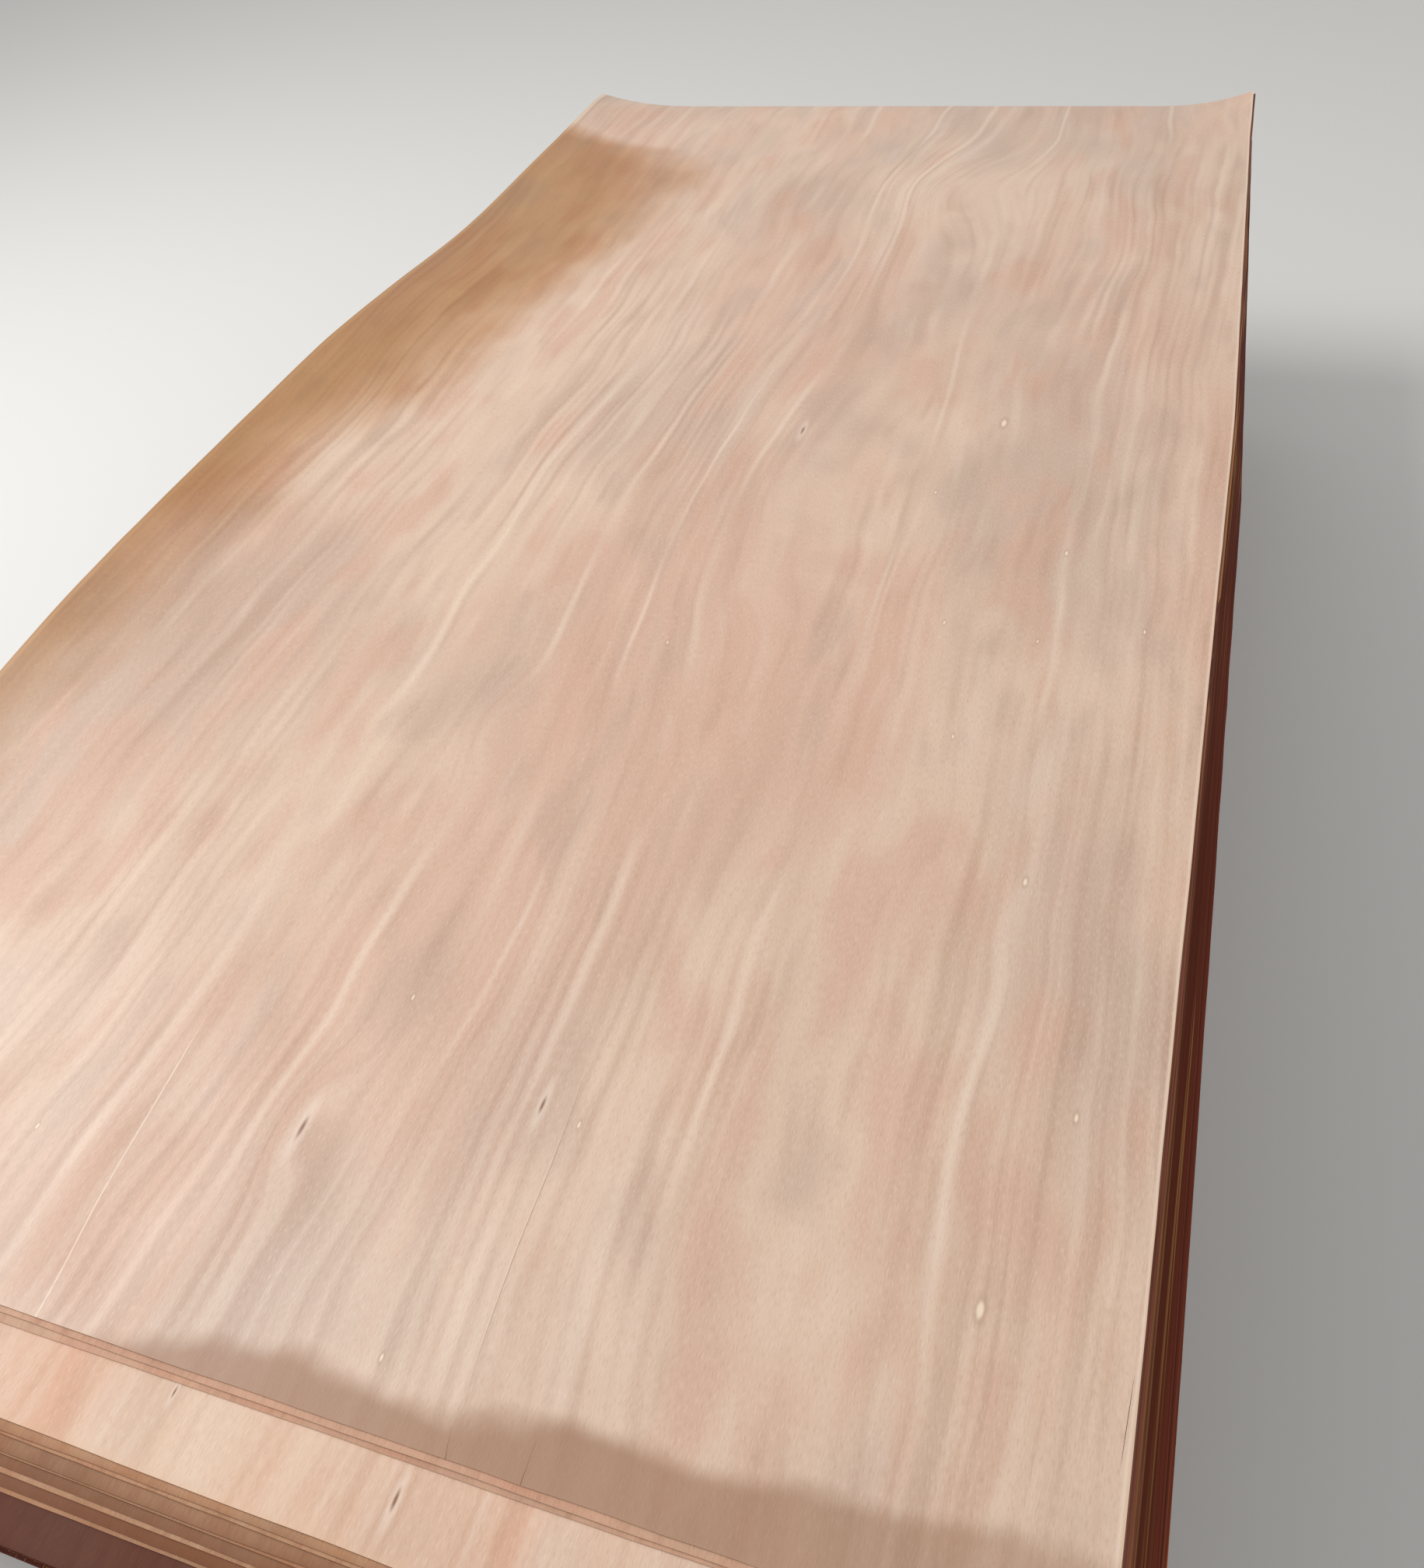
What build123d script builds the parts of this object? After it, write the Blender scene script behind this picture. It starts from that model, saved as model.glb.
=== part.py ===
"""A free-standing stack of rotary-cut wood veneer leaves, as it waits beside a plywood press.

The origin is on the floor under the middle of the stack. X runs across the leaves, Y along
their grain from the front end to the rear end, and Z is up. Lengths are in millimetres and
angles in degrees. The lower stack is a pile of pressed bundles. Thirteen loose leaves lie on
it, each reaching a little further forward and to the right than the one above. The lowest
five are flat, and the left edges and rear corners of the rest have dried into curls.
"""

import os
from math import exp, pi, sin

from build123d import *

# One leaf of veneer. It narrows towards its rear end, because the clipper ran out of square.
leaf_width = 1300.0
leaf_length = 2440.0
leaf_thickness = 1.0
taper_start = 1350.0
taper_in = 23.0

# The lower stack. A bundle is a pressed pile of layers, and a layer is a few tight leaves.
bundle_count = 20
layers_per_bundle = 6
leaves_per_layer = 4
layer_gap = 0.8
gap_depth = 12.0

# How unevenly the layers lie on each other: to the sides, to the ends, and turned.
side_stagger = 6.0
end_stagger = 14.0
turn_stagger = 0.1
bundle_turn = 0.3

# The loose leaves. Their pile corner is the front right corner of the top leaf.
pile_corner_from_right = 8.0
pile_corner_from_front = 105.0
flat_gap = 0.2
loose_gap = 0.5
spring_gap = 0.6
front_ease = 130.0
rear_ease = 470.0

# The curl of the left edge: a long crest, then a rise to the rear left corner.
crest_height = 44.0
crest_place = 1080.0
crest_spread = 620.0
crest_flatness = 4
crest_reach = 420.0
rear_left_lift = 32.0
rear_left_start = 1500.0
rear_left_reach = 230.0
rear_left_bend = 1.2
curl_power = 2.5

# The curl of the rear right corner, and the droop of the overhanging rear end.
rear_right_lift = 26.0
rear_right_reach = 170.0
rear_right_length = 300.0
rear_droop = 6.0
overhang = 65.0

# Splits of the top leaf: the long closed crack, the edge splinter and two short end splits.
# Distances are from the leaf's right edge and from its front end.
crack_width = 1.0
crack_front = (435.0, 43.0)
crack_rear = (449.0, 302.0)
splinter_front = (8.0, 118.0)
splinter_rear = (5.0, 182.0)
end_split_places = (376.0, 434.0)
end_split_length = 26.0
end_split_width = 1.6

# The chip in the right edge of the second leaf.
chip_place = 860.0
chip_length = 140.0
chip_depth = 2.5

# How finely a curled leaf is sampled, closer at its front end, how true its surface is to the
# samples, and how far it runs on past the leaf's outline.
rows_along = 24
columns_across = 12
front_crowding = 1.3
surface_tolerance = 0.001
surface_margin = 0.08
front_margin = 30.0

# The flat leaves, from the lowest: name, how far each reaches past the top leaf to the front
# and to the right, and how far it is turned.
flat_leaves = (
    ("thirteenth_leaf", 127.0, 30.0, 0.50),
    ("twelfth_leaf", 101.0, 25.0, 0.43),
    ("eleventh_leaf", 98.0, 23.0, 0.45),
    ("tenth_leaf", 91.0, 19.5, 0.35),
    ("ninth_leaf", 88.0, 18.0, 0.37),
)

# The curled leaves, from the lowest: the same, and each one's share of the top leaf's curl.
curled_leaves = (
    ("eighth_leaf", 83.0, 15.0, 0.28, 0.10),
    ("seventh_leaf", 80.5, 14.0, 0.29, 0.18),
    ("sixth_leaf", 73.0, 10.5, 0.20, 0.28),
    ("fifth_leaf", 71.0, 9.5, 0.22, 0.40),
    ("fourth_leaf", 65.0, 7.5, 0.14, 0.55),
    ("third_leaf", 9.0, 6.9, 0.20, 0.75),
    ("second_leaf", 5.0, 3.5, 0.0, 0.89),
    ("top_leaf", 0.0, 0.0, 0.0, 1.0),
)

golden_turn = pi * (3 - 5**0.5)
most_front_reach = max(leaf[1] for leaf in curled_leaves) + front_margin

layer_thickness = leaves_per_layer * leaf_thickness
layer_pitch = layer_thickness + layer_gap
bundle_height = layers_per_bundle * layer_pitch - layer_gap
stack_top = bundle_count * bundle_height
flat_pitch = leaf_thickness + flat_gap
curled_base = stack_top + len(flat_leaves) * flat_pitch
corner_x = leaf_width / 2 - pile_corner_from_right
corner_y = -leaf_length / 2 + pile_corner_from_front
surface_length = leaf_length * (1 + surface_margin)
curl_room = crest_height + rear_left_lift + bundle_height


def uneven(index, swing):
    """A value within plus or minus swing that jumps about from one index to the next."""
    return swing * sin(index**2 * golden_turn / 2)


def ease(share):
    """A smooth step from 0 to 1 while share goes from 0 to 1."""
    share = min(max(share, 0.0), 1.0)
    return share**3 * (10 - 15 * share + 6 * share**2)


def curl(distance, reach):
    """The lift of a dried edge: 1 at the edge, steepest there, and 0 from reach inwards."""
    return max(1 - distance / reach, 0.0) ** curl_power


def spring(along):
    """How far the curled leaves stand apart: not at all at their ends, fully in between."""
    rise = ease(along / front_ease)
    fall = ease((leaf_length - overhang - along) / rear_ease)
    return spring_gap * rise * fall


def lift(across, along):
    """The curl of the top leaf, at distances from its front left corner."""
    crest = crest_height * exp(-(((along - crest_place) / crest_spread) ** crest_flatness))
    rear_share = max((along - rear_left_start) / (leaf_length - rear_left_start), 0.0)
    left_reach = crest_reach + (rear_left_reach - crest_reach) * min(rear_share, 1.0)
    left = (crest + rear_left_lift * rear_share**rear_left_bend) * curl(across, left_reach)
    from_right = leaf_width - taper_in - across
    corner = curl(from_right, rear_right_reach) * curl(leaf_length - along, rear_right_length)
    return left + rear_right_lift * corner


def droop(along):
    """How far the rear end hangs where no leaf is under it."""
    return rear_droop * max((along - leaf_length + overhang) / overhang, 0.0) ** 2


def leaf_height(across, along, level, curl_share):
    """The underside of a curled leaf, at distances from the top leaf's front left corner."""
    seat = curled_base + loose_gap + (level - 1) * (leaf_thickness + loose_gap)
    return seat + level * spring(along) + curl_share * lift(across, along) - droop(along)


def curled_surface(level, curl_share):
    """A smooth surface, a little wider than any leaf, in which a leaf's underside lies."""
    rows = []
    for row in range(rows_along + 1):
        along = surface_length * (row / rows_along) ** front_crowding - most_front_reach
        points = []
        for column in range(columns_across + 1):
            share = column / columns_across
            across = leaf_width * (share + surface_margin * (2 * share - 1))
            z = leaf_height(across, along, level, curl_share)
            points.append((corner_x - leaf_width + across, corner_y + along, z))
        rows.append(points)
    return Face.make_surface_from_array_of_points(
        rows, tol=surface_tolerance, min_deg=3, max_deg=3
    )


def slit(front, rear, width):
    """The outline of a narrow pointed slit, from the leaf's right edge and its front end."""
    middle_x = corner_x - (front[0] + rear[0]) / 2
    middle_y = corner_y + (front[1] + rear[1]) / 2
    with BuildSketch(Plane.XY.offset(stack_top)) as outline:
        Polygon(
            (corner_x - front[0], corner_y + front[1]),
            (middle_x + width / 2, middle_y),
            (corner_x - rear[0], corner_y + rear[1]),
            (middle_x - width / 2, middle_y),
            align=None,
        )
    return outline.sketch


def chip(right_reach):
    """The outline of the strip that broke out of the second leaf's right edge."""
    with BuildSketch(Plane.XY.offset(stack_top)) as outline:
        with Locations((corner_x + right_reach, corner_y + chip_place)):
            Rectangle(2 * chip_depth, chip_length, align=(Align.CENTER, Align.MIN))
    return outline.sketch


def breaks(name, right_reach):
    """The outlines of all that has split or broken out of a leaf."""
    if name == "second_leaf":
        return [chip(right_reach)]
    if name != "top_leaf":
        return []
    end_splits = [
        slit((place, -end_split_length), (place, end_split_length), end_split_width)
        for place in end_split_places
    ]
    crack = slit(crack_front, crack_rear, crack_width)
    splinter = slit(splinter_front, splinter_rear, crack_width)
    return [crack, splinter, *end_splits]


def leaf_outline():
    """The tapered outline of a leaf about its middle."""
    half_width = leaf_width / 2
    half_length = leaf_length / 2
    with BuildSketch() as outline:
        Polygon(
            (-half_width, -half_length),
            (half_width, -half_length),
            (half_width, taper_start - leaf_length / 2),
            (half_width - taper_in, half_length),
            (-half_width + taper_in, half_length),
            (-half_width, taper_start - leaf_length / 2),
            align=None,
        )
    return outline.sketch


def placed_outline(front_reach, right_reach, turn, z):
    """The outline of a loose leaf where it lies, at height z."""
    corner = (corner_x + right_reach, corner_y - front_reach, z)
    from_corner = Location((-leaf_width / 2, leaf_length / 2, 0))
    return Location(corner, (0, 0, turn)) * from_corner * leaf_outline()


def flat_leaf(name, level, front_reach, right_reach, turn):
    """One flat leaf between the bundles and the curled leaves."""
    z = stack_top + flat_gap + (level - 1) * flat_pitch
    with BuildPart() as leaf:
        extrude(placed_outline(front_reach, right_reach, turn, z), amount=leaf_thickness)
    leaf.part.label = name
    export_step(leaf.part, f"parts/{name}.step")


def curled_leaf(name, level, front_reach, right_reach, turn, curl_share):
    """One curled leaf, cut to its outline, with its splits."""
    outline = placed_outline(front_reach, right_reach, turn, stack_top)
    with BuildPart() as leaf:
        extrude(curled_surface(level, curl_share), amount=leaf_thickness, dir=(0, 0, 1))
        extrude(outline, amount=curl_room, mode=Mode.INTERSECT)
        for cut in breaks(name, right_reach):
            extrude(cut, amount=curl_room, mode=Mode.SUBTRACT)
    leaf.part.label = name
    export_step(leaf.part, f"parts/{name}.step")


def bundle(number):
    """One pressed bundle, with the air between its staggered layers cut into its faces."""
    name = f"bundle_{number + 1:02d}"
    core_width = leaf_width - 2 * (taper_in + gap_depth + side_stagger)
    core_length = leaf_length - 2 * (gap_depth + end_stagger)
    with BuildSketch() as core:
        Rectangle(core_width, core_length, rotation=bundle_turn)
    with BuildPart() as pile:
        for layer in range(layers_per_bundle):
            index = number * layers_per_bundle + layer
            z = number * bundle_height + layer * layer_pitch
            shift = (uneven(index, side_stagger), uneven(index * 2 + 3, end_stagger), z)
            turn = bundle_turn + uneven(index + 7, turn_stagger)
            extrude(Location(shift, (0, 0, turn)) * leaf_outline(), amount=layer_thickness)
            if layer < layers_per_bundle - 1:
                extrude(Pos(0, 0, z + layer_thickness) * core.sketch, amount=layer_gap)
    pile.part.label = name
    export_step(pile.part, f"parts/{name}.step")


os.makedirs("parts", exist_ok=True)
for number in range(bundle_count):
    bundle(number)
for level, sizes in enumerate(flat_leaves, 1):
    flat_leaf(sizes[0], level, *sizes[1:])
for level, sizes in enumerate(curled_leaves, 1):
    curled_leaf(sizes[0], level, *sizes[1:])
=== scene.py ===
import logging
import math
from dataclasses import dataclass, field, replace
from enum import Enum

import bmesh
import bpy
from mathutils import Matrix, Vector, noise


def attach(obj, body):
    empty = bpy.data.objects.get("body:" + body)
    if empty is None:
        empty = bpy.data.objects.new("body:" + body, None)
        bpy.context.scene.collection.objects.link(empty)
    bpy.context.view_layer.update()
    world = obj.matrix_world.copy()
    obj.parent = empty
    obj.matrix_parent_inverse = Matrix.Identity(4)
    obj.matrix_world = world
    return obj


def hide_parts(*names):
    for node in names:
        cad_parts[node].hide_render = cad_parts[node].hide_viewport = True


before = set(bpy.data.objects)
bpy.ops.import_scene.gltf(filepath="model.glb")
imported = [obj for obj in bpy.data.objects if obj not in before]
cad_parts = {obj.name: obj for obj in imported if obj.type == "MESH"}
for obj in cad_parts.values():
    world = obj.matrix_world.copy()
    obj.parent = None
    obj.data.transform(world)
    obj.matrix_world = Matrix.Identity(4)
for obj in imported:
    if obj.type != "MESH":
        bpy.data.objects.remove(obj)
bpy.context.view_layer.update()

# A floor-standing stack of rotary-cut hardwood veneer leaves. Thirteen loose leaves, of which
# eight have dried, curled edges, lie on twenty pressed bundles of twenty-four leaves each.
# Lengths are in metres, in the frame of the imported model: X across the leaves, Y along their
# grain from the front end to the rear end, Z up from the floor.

MM = 0.001
TINY = 1e-6
GOLDEN_TURN = math.pi * (3 - math.sqrt(5))
BUNDLE_COUNT = 20

# How far a seed moves a noise along each axis, and how upright a flat-lying face's normal is.
SEED_SPREAD = (1.0, 0.7, 1.3)
FLAT_ENOUGH = 0.7

LOG = logging.getLogger("veneer_stack")
Colour = tuple[float, float, float, float]
Value = bpy.types.Node | bpy.types.NodeSocket


def srgb(code: str) -> Colour:
    """Turns a colour as seen on a screen into linear light.

    Args:
        code: The colour as "#rrggbb".

    Returns:
        Red, green and blue in linear light, and full opacity.
    """
    shares = [int(code[i : i + 2], 16) / 255 for i in (1, 3, 5)]
    linear = [s / 12.92 if s <= 0.04045 else ((s + 0.055) / 1.055) ** 2.4 for s in shares]
    return linear[0], linear[1], linear[2], 1.0


def add_node(
    tree: bpy.types.NodeTree, kind: str, inputs: dict | None = None, **settings: object
) -> bpy.types.Node:
    """Adds a node with its settings and links.

    Args:
        tree: The material's or the world's node tree.
        kind: The node's type, without the words that all shader nodes start with.
        inputs: Input name or number to a plain value, a socket, or a node, whose first
            enabled output is then linked.
        **settings: The node's own settings.

    Returns:
        The new node.
    """
    node = tree.nodes.new("ShaderNode" + kind)
    for name, value in settings.items():
        setattr(node, name, value)
    for key, value in (inputs or {}).items():
        if isinstance(value, bpy.types.Node):
            value = next(output for output in value.outputs if output.enabled)
        if isinstance(value, bpy.types.NodeSocket):
            tree.links.new(value, node.inputs[key])
        else:
            node.inputs[key].default_value = value
    return node


def blank_material(name: str) -> bpy.types.Material:
    """Makes a material whose node tree is empty.

    Args:
        name: The finish's name.

    Returns:
        The material.
    """
    made = bpy.data.materials.new(name)
    made.use_nodes = True
    made.node_tree.nodes.clear()
    return made


def smooth_step(share: float) -> float:
    """Steps from 0 to 1 with no kink, while share goes from 0 to 1."""
    share = min(max(share, 0.0), 1.0)
    return share**3 * (10 - 15 * share + 6 * share**2)


def jump(index: int, swing: float) -> float:
    """Gives a value within plus or minus swing that jumps about from one index to the next."""
    return swing * math.sin(index**2 * GOLDEN_TURN / 2)


class Side(Enum):
    """The two kinds of surface that a cut sheet shows."""

    FACE = 0
    EDGE = 1


class Blend(Enum):
    """How a tone is laid on the wood: it covers the grain, or the grain shows through it."""

    COVER = "MIX"
    TINT = "MULTIPLY"


@dataclass(frozen=True)
class Outline:
    """The clipped outline that all the leaves share. It narrows towards its rear end."""

    width: float = 1.300
    length: float = 2.440
    thickness: float = 0.001
    taper_start: float = 1.350
    taper_in: float = 0.023

    def inset(self, along: float) -> float:
        """Tells how far each long edge has come in, at a distance from the front end."""
        share = (along - self.taper_start) / (self.length - self.taper_start)
        return self.taper_in * max(share, 0.0)

    def across(self, share: float, along: float) -> float:
        """Turns a share of the leaf's width there into a distance from the left edge's line."""
        inset = self.inset(along)
        return inset + share * (self.width - 2 * inset)


@dataclass(frozen=True)
class Swirl:
    """An oval in the figure, where the knife went through a bulge of the log."""

    across: float
    along: float
    half_width: float
    half_length: float
    push: float


@dataclass(frozen=True)
class Spot:
    """A pin knot or a speck, at a distance from the sheet's front left corner."""

    across: float
    along: float
    radius: float


@dataclass(frozen=True)
class Shade:
    """The levels of a figure between which a tone comes in, and how much of it shows."""

    start: float
    full: float
    strength: float = 1.0


@dataclass(frozen=True)
class Grain:
    """A noise whose bumps are drawn out along the grain. Their sizes are in millimetres.

    The seed picks another part of the noise, the detail is how many finer layers it has, and
    the roughness is how strong those are.
    """

    width: float
    length: float
    seed: float
    detail: float = 2.0
    roughness: float = 0.5

    def drawn(self, tree: bpy.types.NodeTree, place: bpy.types.Node) -> bpy.types.Node:
        """Adds the noise.

        Args:
            tree: The material's node tree.
            place: The place on the sheet, in metres.

        Returns:
            The noise node, whose value lies about 0.5.
        """
        per_metre = (1 / (self.width * MM), 1 / (self.length * MM), 1.0)
        moved = tuple(self.seed * spread for spread in SEED_SPREAD)
        scaled = add_node(
            tree, "VectorMath", {0: place, 1: per_metre, 2: moved}, operation="MULTIPLY_ADD"
        )
        return add_node(
            tree,
            "TexNoise",
            {
                "Vector": scaled,
                "Scale": 1.0,
                "Detail": self.detail,
                "Roughness": self.roughness,
            },
        )


@dataclass(frozen=True)
class Streaks:
    """Streaks along the growth rings, and how much darker and paler than the ground they are."""

    grain: Grain
    dark: float
    pale: float
    patchy: bool = False


@dataclass(frozen=True)
class EdgePatch:
    """A patch that has come in from an edge, with a ragged border: the ochre stain, and the painted
    shade at the front end.

    The reach holds distances in metres, each after its place along the edge, as a share.
    """

    border: Grain
    raggedness: float
    reach: tuple[tuple[float, float], ...]

    def inside(
        self,
        tree: bpy.types.NodeTree,
        place: bpy.types.Node,
        run: bpy.types.NodeSocket,
        edge_length: float,
        away: bpy.types.NodeSocket,
    ) -> bpy.types.Node:
        """Adds how far a place lies inside the patch's border.

        Args:
            tree: The material's node tree.
            place: The place on the sheet, in metres.
            run: The distance along the edge.
            edge_length: The edge's length.
            away: The distance from the edge.

        Returns:
            The node of that distance, which is negative outside.
        """
        ragged = self.border.drawn(tree, place)
        border = add_node(
            tree, "Math", {0: ragged, 1: self.raggedness, 2: away}, operation="MULTIPLY_ADD"
        )
        share = add_node(tree, "Math", {0: run, 1: 1 / edge_length}, operation="MULTIPLY")
        ramp = add_node(tree, "ValToRGB", {0: share})
        elements = ramp.color_ramp.elements
        for number, (at, distance) in enumerate(self.reach):
            stop = elements[number] if number < 2 else elements.new(at)
            stop.position = at
            stop.color = (distance, distance, distance, 1.0)
        return add_node(tree, "Math", {0: ramp, 1: border}, operation="SUBTRACT")


@dataclass
class WoodColour:
    """The colour of a peeled face while its tones are laid on, and the places they follow."""

    tree: bpy.types.NodeTree
    place: bpy.types.Node
    across: bpy.types.NodeSocket
    along: bpy.types.NodeSocket
    colour: bpy.types.Node | Colour

    def lay(
        self,
        code: str,
        figure: Value,
        shade: Shade,
        mask: Value | float = 1.0,
        blend: Blend = Blend.COVER,
    ) -> None:
        """Lays a tone on where a figure's value goes from one level to another.

        Args:
            code: The tone, as "#rrggbb".
            figure: The figure's value.
            shade: The two levels, and how much of the tone shows.
            mask: A further share, for a tone that shows in some places only.
            blend: How the tone is laid on.
        """
        shown = add_node(
            self.tree,
            "MapRange",
            {"Value": figure, 1: shade.start, 2: shade.full, 4: shade.strength},
            interpolation_type="SMOOTHSTEP",
        )
        share = add_node(self.tree, "Math", {0: shown, 1: mask}, operation="MULTIPLY")
        self.colour = add_node(
            self.tree,
            "Mix",
            {0: share, 6: self.colour, 7: srgb(code)},
            data_type="RGBA",
            blend_type=blend.value,
        )

    def beside(self, value: Value, at: float) -> bpy.types.Node:
        """Adds the distance between a value and a line's place."""
        off = add_node(self.tree, "Math", {0: value, 1: at}, operation="SUBTRACT")
        return add_node(self.tree, "Math", {0: off}, operation="ABSOLUTE")


@dataclass(frozen=True)
class PeeledFace:
    """The raw face of rotary-peeled tropical hardwood veneer, as it leaves the dryer.

    The knife follows the growth rings, so the figure is long wandering streaks with ovals
    where the log bulged. The surface is matt, with a weak sheen from its fibres, and fine
    pores run along the grain.
    """

    name: str
    ground: str
    rose: str
    grey: str
    pale_streak: str
    dark_streak: str
    rim: str
    swirls: tuple[Swirl, ...] = ()
    pin_knots: tuple[Spot, ...] = ()
    specks: tuple[Spot, ...] = ()
    stained_and_shaded: bool = False
    sheet: Outline = Outline()

    # The tones of wear, of painted shade and of spots. The two ochres are tints.
    ochre: str = "#e5d0b6"
    ochre_deep: str = "#e6dac0"
    front_shade: str = "#94694a"
    aged: str = "#65361d"
    side_shade: str = "#642b1e"
    side_line: str = "#b07c4c"
    halo: str = "#f5e6d8"
    knot_ring: str = "#8f6448"
    knot_heart: str = "#f3dfc4"
    speck_heart: str = "#80543d"

    # The broad patches of rose and grey, and the smaller clouds of both.
    rose_patches: Grain = Grain(416.7, 769.2, 1.7)
    grey_patches: Grain = Grain(322.6, 588.2, 6.3)
    clouds: Grain = Grain(66.67, 181.8, 11.9)
    rose_patch: Shade = Shade(0.44, 0.62, 0.7)
    grey_patch: Shade = Shade(0.48, 0.66, 0.7)
    rose_cloud: Shade = Shade(0.50, 0.68, 0.7)
    grey_cloud: Shade = Shade(0.47, 0.30, 0.5)

    # The figure: soft growth streaks, short ones, and fine lines that show in some places.
    streaks: tuple[Streaks, ...] = (
        Streaks(Grain(34.0, 666.7, 2.2, 1.0), dark=0.22, pale=0.26),
        Streaks(Grain(16.0, 125.0, 5.9, 1.5), dark=0.22, pale=0.16),
        Streaks(Grain(8.5, 526.3, 9.1, 0.0), dark=0.29, pale=0.20, patchy=True),
    )
    dark_levels: tuple[float, float] = (0.52, 0.76)
    pale_levels: tuple[float, float] = (0.46, 0.24)
    lined_places: Grain = Grain(294.1, 625.0, 4.4, 1.0)
    lined_levels: tuple[float, float] = (0.44, 0.62)
    least_lined: float = 0.10

    # How the growth rings wander across the sheet, and the swing of each wave in metres.
    wanders: tuple[tuple[Grain, float], ...] = (
        (Grain(769.2, 1612.9, 3.1, 1.0), 0.12),
        (Grain(217.4, 416.7, 8.4, 1.0), 0.050),
        (Grain(90.91, 133.33, 5.2, 1.0), 0.014),
    )

    # Where the long pale lines run, as the growth ring's place, and their half widths. They
    # fade in and out.
    pale_lines: tuple[tuple[float, float], ...] = ()
    pale_line_strength: float = 0.45
    fading: Grain = Grain(500.0, 294.1, 7.7, 1.0)
    fade_levels: tuple[float, float] = (0.42, 0.60)

    # Straight pale scratches from the front end: the distance from the left edge there, how
    # far they move across in a metre, and where they end. They show from 1.3 mm beside their
    # middle inwards.
    scratches: tuple[tuple[float, float, float], ...] = ()
    scratch_shade: Shade = Shade(0.0013, 0.0, 0.6)
    scratch_fade: float = 0.06

    # The pores are 0.3 mm wide on the real sheet, and are drawn coarser so that they show.
    pores: Grain = Grain(1.2, 7.0, 3.9, 3.0, 0.7)
    dark_pore: Shade = Shade(0.50, 0.74, 0.32)
    pale_pore: Shade = Shade(0.50, 0.26, 0.32)
    pore_depth: float = 0.3 * MM
    relief: float = 0.35

    # The rim, partly dried wood and partly painted shade on the loose sheets and a painted
    # highlight on the top sheet; the darkened old sheets; and painted shade along the sides, with
    # paler lines in it.
    rim_spread: Shade = Shade(0.0, 1.0, 0.9)
    darkened: Shade = Shade(0.6, 0.0, 0.85)
    side_levels: tuple[float, float] = (0.50, 0.85)
    pale_side_lines: Grain = Grain(2.2, 2000.0, 6.6, 0.0)
    pale_side_line: Shade = Shade(0.58, 0.72, 0.7)

    # The ochre stain along the left edge, in two strengths: partly real stain and partly painted
    # shade where the edge curls up.
    ochre_stain_and_shade: EdgePatch = EdgePatch(
        Grain(200.0, 333.3, 12.5, 3.0, 0.6),
        0.22,
        (
            (0.0, 0.25),
            (0.30, 0.265),
            (0.45, 0.30),
            (0.56, 0.39),
            (0.72, 0.48),
            (0.855, 0.50),
            (0.90, 0.41),
            (0.95, 0.08),
        ),
    )
    ochre_border: Shade = Shade(0.0, 0.13)
    ochre_middle: Shade = Shade(0.09, 0.20)

    # The painted shade at the front end, which is weaker towards the right edge.
    front_shade_patch: EdgePatch = EdgePatch(
        Grain(90.91, 71.43, 8.8),
        0.05,
        ((0.0, 0.0), (0.43, 0.0), (0.50, 0.030), (0.70, 0.034), (0.80, 0.048), (0.95, 0.060)),
    )
    front_shade_border: Shade = Shade(-0.036, -0.014, 0.8)
    front_shade_fade: tuple[float, float] = (0.95, 1.30)
    least_front_shade: float = 0.5

    # A spot's length over its width, and its rings, in radii. No mark reaches far_away.
    pin_slenderness: float = 2.6
    speck_slenderness: float = 5.0
    far_away: float = 99.0
    pin_ring: Shade = Shade(2.4, 1.0, 0.22)
    pin_heart: Shade = Shade(1.2, 0.4, 0.8)
    speck_ring: Shade = Shade(3.6, 1.2, 0.3)
    speck_middle: Shade = Shade(1.3, 0.1, 0.9)

    # The sheen: the clouds are a little smoother and rougher than the rest.
    roughness: float = 0.44
    smoother: float = 0.06
    rougher: float = 0.09
    gloss_levels: tuple[float, float] = (0.3, 0.7)
    ior: float = 1.45
    shine: float = 0.5

    def nearest(
        self, wood: WoodColour, spots: tuple[Spot, ...], slenderness: float
    ) -> bpy.types.Node:
        """Adds the distance to the nearest of some spots, in radii of that spot.

        Args:
            wood: The colour under way.
            spots: The pin knots or specks.
            slenderness: Their length over their width.

        Returns:
            The node of that distance.
        """
        found = self.far_away
        for spot in spots:
            wide, long = 1 / spot.radius, 1 / (slenderness * spot.radius)
            middle = (-spot.across * wide, -spot.along * long, 0.0)
            offset = add_node(
                wood.tree,
                "VectorMath",
                {0: wood.place, 1: (wide, long, 0.0), 2: middle},
                operation="MULTIPLY_ADD",
            )
            length = add_node(wood.tree, "VectorMath", {0: offset}, operation="LENGTH")
            found = add_node(
                wood.tree, "Math", {0: length.outputs["Value"], 1: found}, operation="MINIMUM"
            )
        return found

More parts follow.
